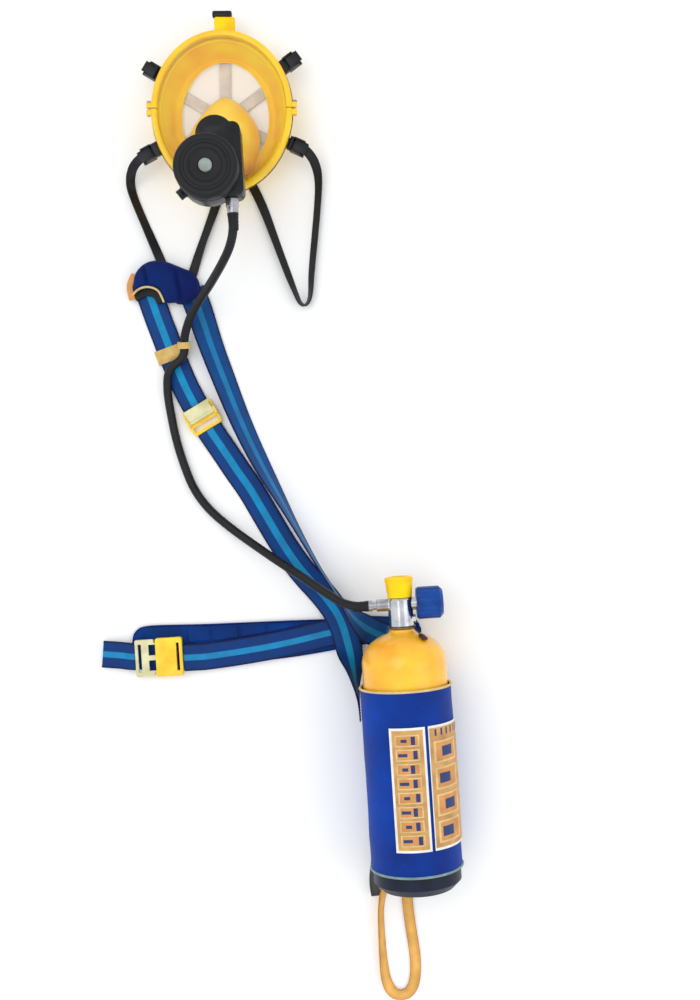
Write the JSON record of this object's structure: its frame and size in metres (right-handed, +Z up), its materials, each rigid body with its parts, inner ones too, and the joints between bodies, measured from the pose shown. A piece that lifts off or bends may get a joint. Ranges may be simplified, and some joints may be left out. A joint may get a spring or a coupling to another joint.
{
  "type": "breathing apparatus",
  "caption": "Hip-worn compressed-air breathing set laid flat: pouched cylinder with valve, harness and belt, hose, demand valve and full-face mask.",
  "frame": {"origin": "on the resting surface, under the middle of the whole set as it lies flat", "axes": "+Z up from the resting surface, +Y along the set from the cylinder towards the mask, +X to the cylinder's handwheel side"},
  "size_m": [0.4879, 1.4013, 0.186],
  "materials": {
    "yellow_cylinder": "gloss",
    "boot_black": "matt",
    "pouch_fabric": "matt",
    "binding_cream": "matt",
    "print_panel": "satin",
    "panel_fabric": "matt",
    "orange_webbing": "matt",
    "blue_webbing": "satin",
    "chrome_metal": "polished",
    "handwheel_blue": "satin",
    "gauge_steel": "brushed",
    "dial_white": "matt",
    "needle_black": "matt",
    "clear_lens": "clear",
    "yellow_rubber": "satin",
    "spring_steel": "bright",
    "brass_metal": "satin",
    "hose_rubber": "satin",
    "black_plastic": "satin",
    "button_grey": "satin",
    "black_rubber": "matt",
    "yellow_plastic": "satin",
    "pad_navy": "matt",
    "keeper_tan": "matt",
    "tag_brown": "satin",
    "pale_plastic": "satin"
  },
  "bodies": {
    "set": {"back_panel": "panel_fabric", "base_loop": "orange_webbing", "belt_pad": "pad_navy", "belt_strap": "blue_webbing", "buckle_bases": "black_plastic", "buckle_female": "yellow_plastic", "cylinder_boot": "boot_black", "cylinder_shell": "yellow_cylinder", "dv_cover": "black_rubber", "dv_housing": "black_plastic", "dv_spring": "spring_steel", "exhale_cover": "black_plastic", "frame_lower": "yellow_plastic", "frame_screws": "gauge_steel", "frame_upper": "yellow_plastic", "front_strap_lower": "blue_webbing", "front_strap_upper": "blue_webbing", "gauge_boot": "yellow_rubber", "gauge_case": "gauge_steel", "gauge_dial": "dial_white", "gauge_lens": "clear_lens", "head_harness": "black_rubber", "hose_ferrule": "gauge_steel", "hose_plug": "gauge_steel", "hose_tube": "hose_rubber", "inner_mask": "yellow_rubber", "ladder_lock": "yellow_plastic", "mask_face": "yellow_rubber", "neck_strap_left": "black_rubber", "neck_strap_right": "black_rubber", "port_housing": "black_plastic", "pouch_bindings": "binding_cream", "pouch_patches": "print_panel", "pouch_sleeve": "pouch_fabric", "rear_strap": "blue_webbing", "reducer_cap": "chrome_metal", "reducer_spring": "spring_steel", "seal_tag": "tag_brown", "shoulder_pad": "pad_navy", "strap_keeper": "keeper_tan", "valve_body": "chrome_metal", "visor": "clear_lens"},
    "handwheel_unit": {"handwheel": "handwheel_blue", "valve_spindle": "gauge_steel"},
    "valve_plug_unit": {"valve_plug": "brass_metal"},
    "needle_unit": {"gauge_needle": "needle_black"},
    "piston_unit": {"reducer_piston": "brass_metal"},
    "sleeve_unit": {"coupling_sleeve": "gauge_steel"},
    "purge_unit": {"dv_button": "button_grey", "dv_diaphragm": "black_rubber"},
    "lever_unit": {"dv_lever": "gauge_steel"},
    "bypass_unit": {"dv_bypass": "black_plastic"},
    "exhale_unit": {"exhale_disc": "black_rubber"},
    "temple_lever_left": {"lever_temple_left": "black_plastic"},
    "temple_lever_right": {"lever_temple_right": "black_plastic"},
    "neck_lever_left": {"lever_neck_left": "black_plastic"},
    "neck_lever_right": {"lever_neck_right": "black_plastic"},
    "belt_plug": {"buckle_male": "pale_plastic", "belt_strap_end": "blue_webbing"},
    "cam_unit": {"lock_cam": "pale_plastic"}
  },
  "joints": [
    {"name": "handwheel_turn", "type": "hinge", "parent": "set", "child": "handwheel_unit", "pos_m": [0.22, -0.133, 0.07], "axis": [1, 0, 0], "range_deg": [0, 720]},
    {"name": "valve_plug_lift", "type": "slide", "parent": "set", "child": "valve_plug_unit", "axis": [1, 0, 0], "range_m": [0, 0.003]},
    {"name": "gauge_needle_turn", "type": "hinge", "parent": "set", "child": "needle_unit", "pos_m": [0.18, -0.105, 0.07], "axis": [0, 1, 0], "range_deg": [0, 270]},
    {"name": "reducer_piston_travel", "type": "slide", "parent": "set", "child": "piston_unit", "axis": [0, 0, 1], "range_m": [0, 0.002], "stiffness_N_per_m": 3000, "deforming": ["reducer_spring"]},
    {"name": "coupling_sleeve_pull", "type": "slide", "parent": "set", "child": "sleeve_unit", "axis": [-1, 0, 0], "range_m": [0, 0.004], "stiffness_N_per_m": 1200},
    {"name": "purge_press", "type": "slide", "parent": "set", "child": "purge_unit", "axis": [0, 0, -1], "range_m": [0, 0.003], "stiffness_N_per_m": 800, "deforming": ["dv_spring"]},
    {"name": "demand_lever_tilt", "type": "hinge", "parent": "set", "child": "lever_unit", "pos_m": [-0.035, 0.475, 0.155], "axis": [1, 0, 0], "range_deg": [0, 7]},
    {"name": "bypass_turn", "type": "hinge", "parent": "set", "child": "bypass_unit", "pos_m": [-0.06898, 0.42431, 0.15], "axis": [-0.809, -0.5878, 0], "range_deg": [0, 90]},
    {"name": "exhale_disc_lift", "type": "slide", "parent": "set", "child": "exhale_unit", "axis": [0, 0, 1], "range_m": [0, 0.002], "stiffness_N_per_m": 60},
    {"name": "buckle_release", "type": "slide", "parent": "set", "child": "belt_plug", "axis": [-1, 0, 0], "range_m": [0, 0.022]},
    {"name": "temple_left_release", "type": "hinge", "parent": "set", "child": "temple_lever_left", "pos_m": [-0.11005, 0.62161, 0.0413], "axis": [0.5647, 0.8253, 0], "range_deg": [0, 60]},
    {"name": "temple_right_release", "type": "hinge", "parent": "set", "child": "temple_lever_right", "pos_m": [0.07499, 0.62269, 0.0413], "axis": [0.5508, -0.8346, 0], "range_deg": [0, 60]},
    {"name": "neck_left_release", "type": "hinge", "parent": "set", "child": "neck_lever_left", "pos_m": [-0.12356, 0.51154, 0.0413], "axis": [-0.4238, 0.9058, 0], "range_deg": [0, 60]},
    {"name": "neck_right_release", "type": "hinge", "parent": "set", "child": "neck_lever_right", "pos_m": [0.0767, 0.50881, 0.0413], "axis": [-0.4679, -0.8838, 0], "range_deg": [0, 60]},
    {"name": "cam_tilt", "type": "hinge", "parent": "set", "child": "cam_unit", "pos_m": [-0.08, 0.143, 0.0102], "axis": [0.8882, 0.4594, 0], "range_deg": [0, 60]}
  ],
  "couplings": [
    {"joint": "valve_plug_lift", "follows": "handwheel_turn", "m_per_rad": 0.000238},
    {"joint": "demand_lever_tilt", "follows": "purge_press", "rad_per_m": 40}
  ]
}
